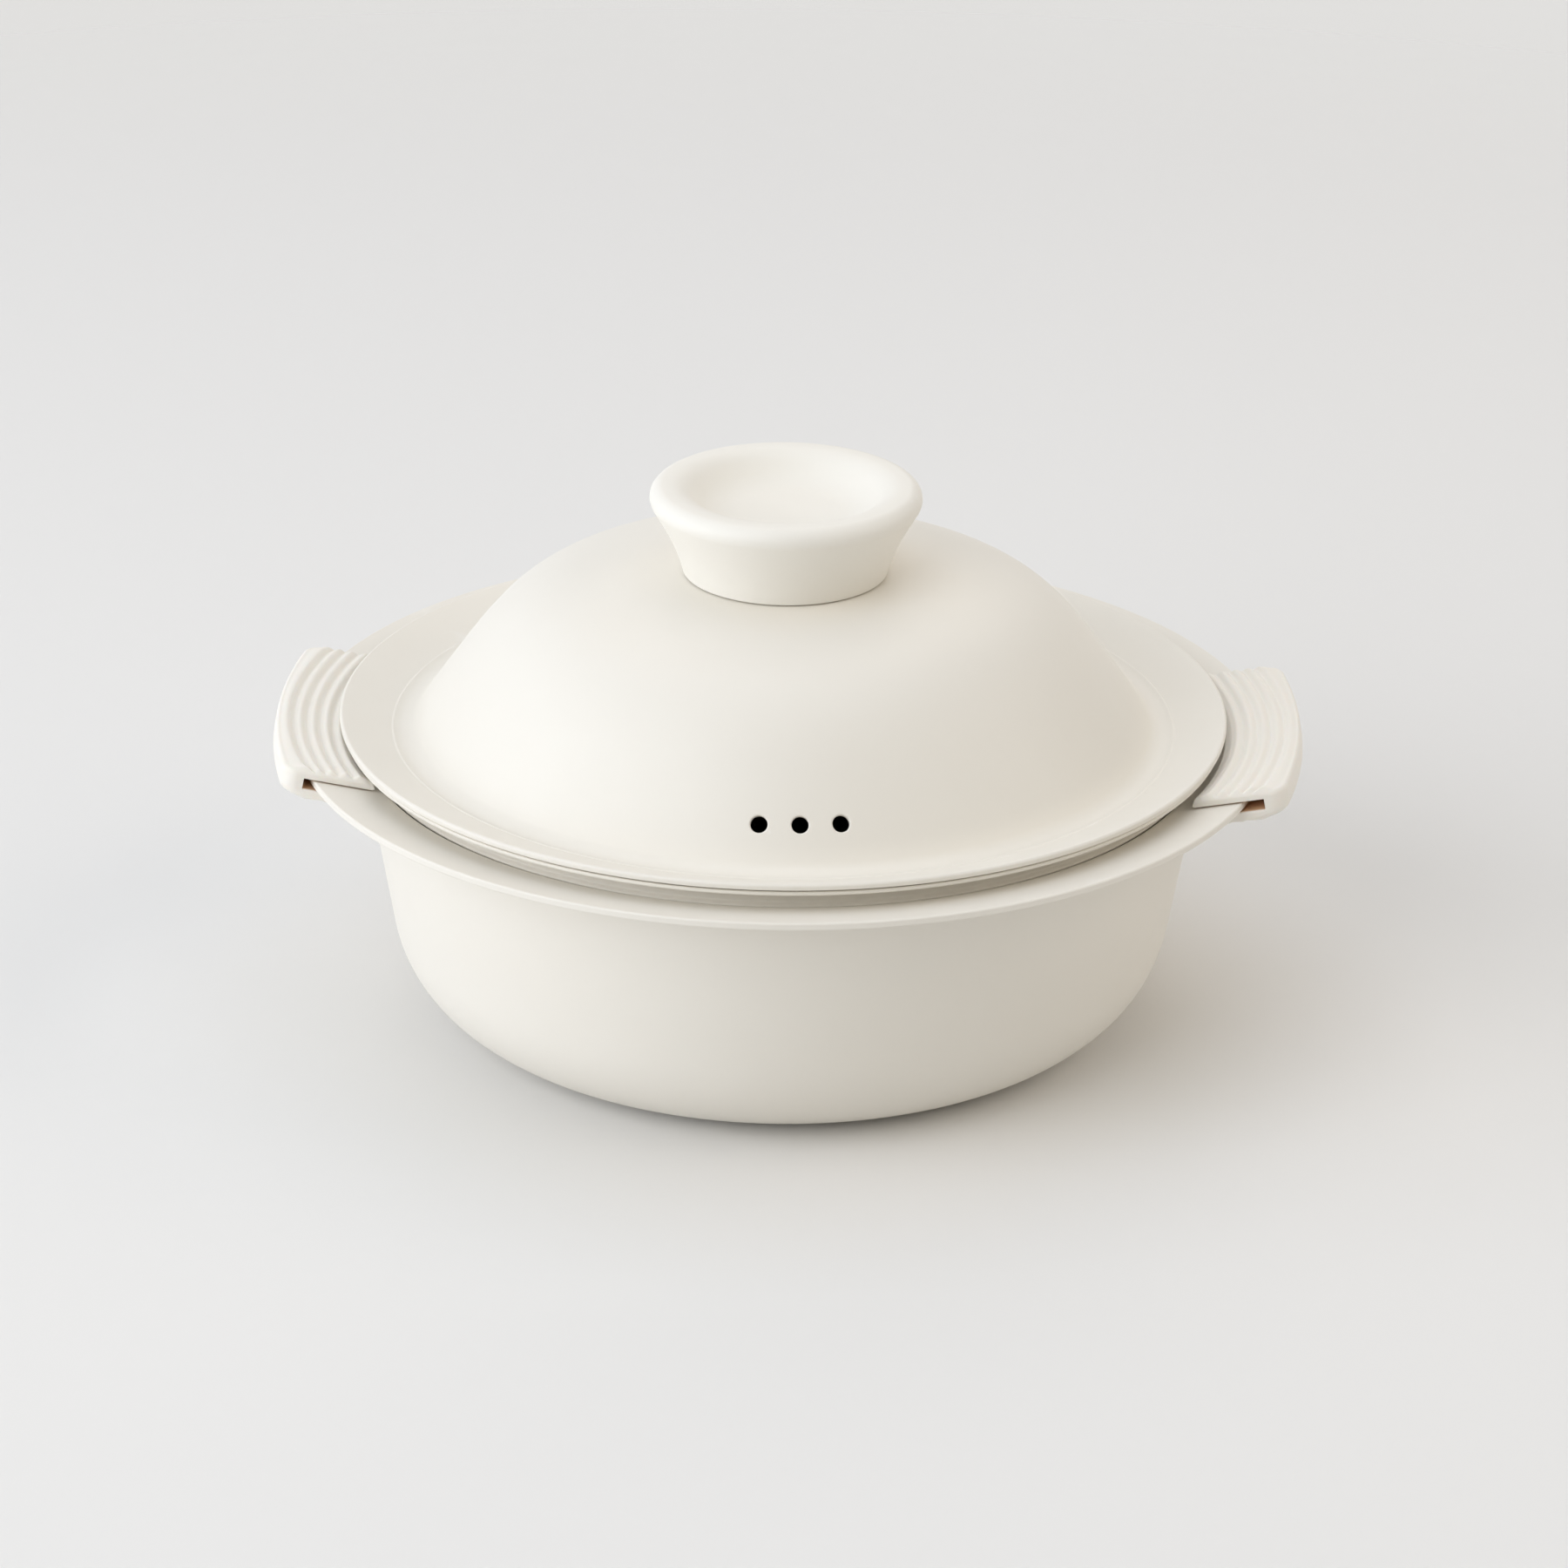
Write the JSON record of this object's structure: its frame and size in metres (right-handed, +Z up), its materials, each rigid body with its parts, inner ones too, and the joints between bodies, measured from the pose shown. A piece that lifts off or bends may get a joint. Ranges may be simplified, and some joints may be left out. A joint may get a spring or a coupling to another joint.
{
  "type": "tabletop pot",
  "caption": "Ivory-coated tabletop pot with a wide sloped flange, hanging steam tray, bell-shaped lid with a dished knob, and ridged slip-on silicone grips.",
  "frame": {"origin": "middle of the flat base, on the surface the pot stands on", "axes": "+X through the right-hand grip, +Y away from the side with the steam holes, +Z up through the knob"},
  "size_m": [0.3169, 0.3, 0.1707],
  "materials": {
    "ivory_coat": "satin-matte",
    "ivory_knob": "satin-matte",
    "ivory_silicone": "matte",
    "seal_silicone": "matte",
    "steel": "brushed",
    "brass": "machined"
  },
  "bodies": {
    "pot": {"pot_body": "ivory_coat", "base_plate": "steel"},
    "tray": {"steam_tray": "ivory_coat"},
    "lid": {"lid_shell": "ivory_coat", "lid_knob": "ivory_knob", "knob_insert": "brass", "knob_screw": "steel", "knob_washer": "steel", "knob_seal": "seal_silicone"},
    "grip_left": {"left_grip": "ivory_silicone"},
    "grip_right": {"right_grip": "ivory_silicone"}
  },
  "joints": [
    {"name": "tray_lift", "type": "slide", "parent": "pot", "child": "tray", "axis": [0, 0, 1], "range_m": [0, 0.1]},
    {"name": "lid_lift", "type": "slide", "parent": "tray", "child": "lid", "axis": [0, 0, 1], "range_m": [0, 0.1]},
    {"name": "left_grip_pull", "type": "slide", "parent": "pot", "child": "grip_left", "axis": [-0.9816, -0.0103, 0.1908], "range_m": [0, 0.04]},
    {"name": "right_grip_pull", "type": "slide", "parent": "pot", "child": "grip_right", "axis": [0.9797, -0.0616, 0.1908], "range_m": [-0.003, 0.04]}
  ]
}
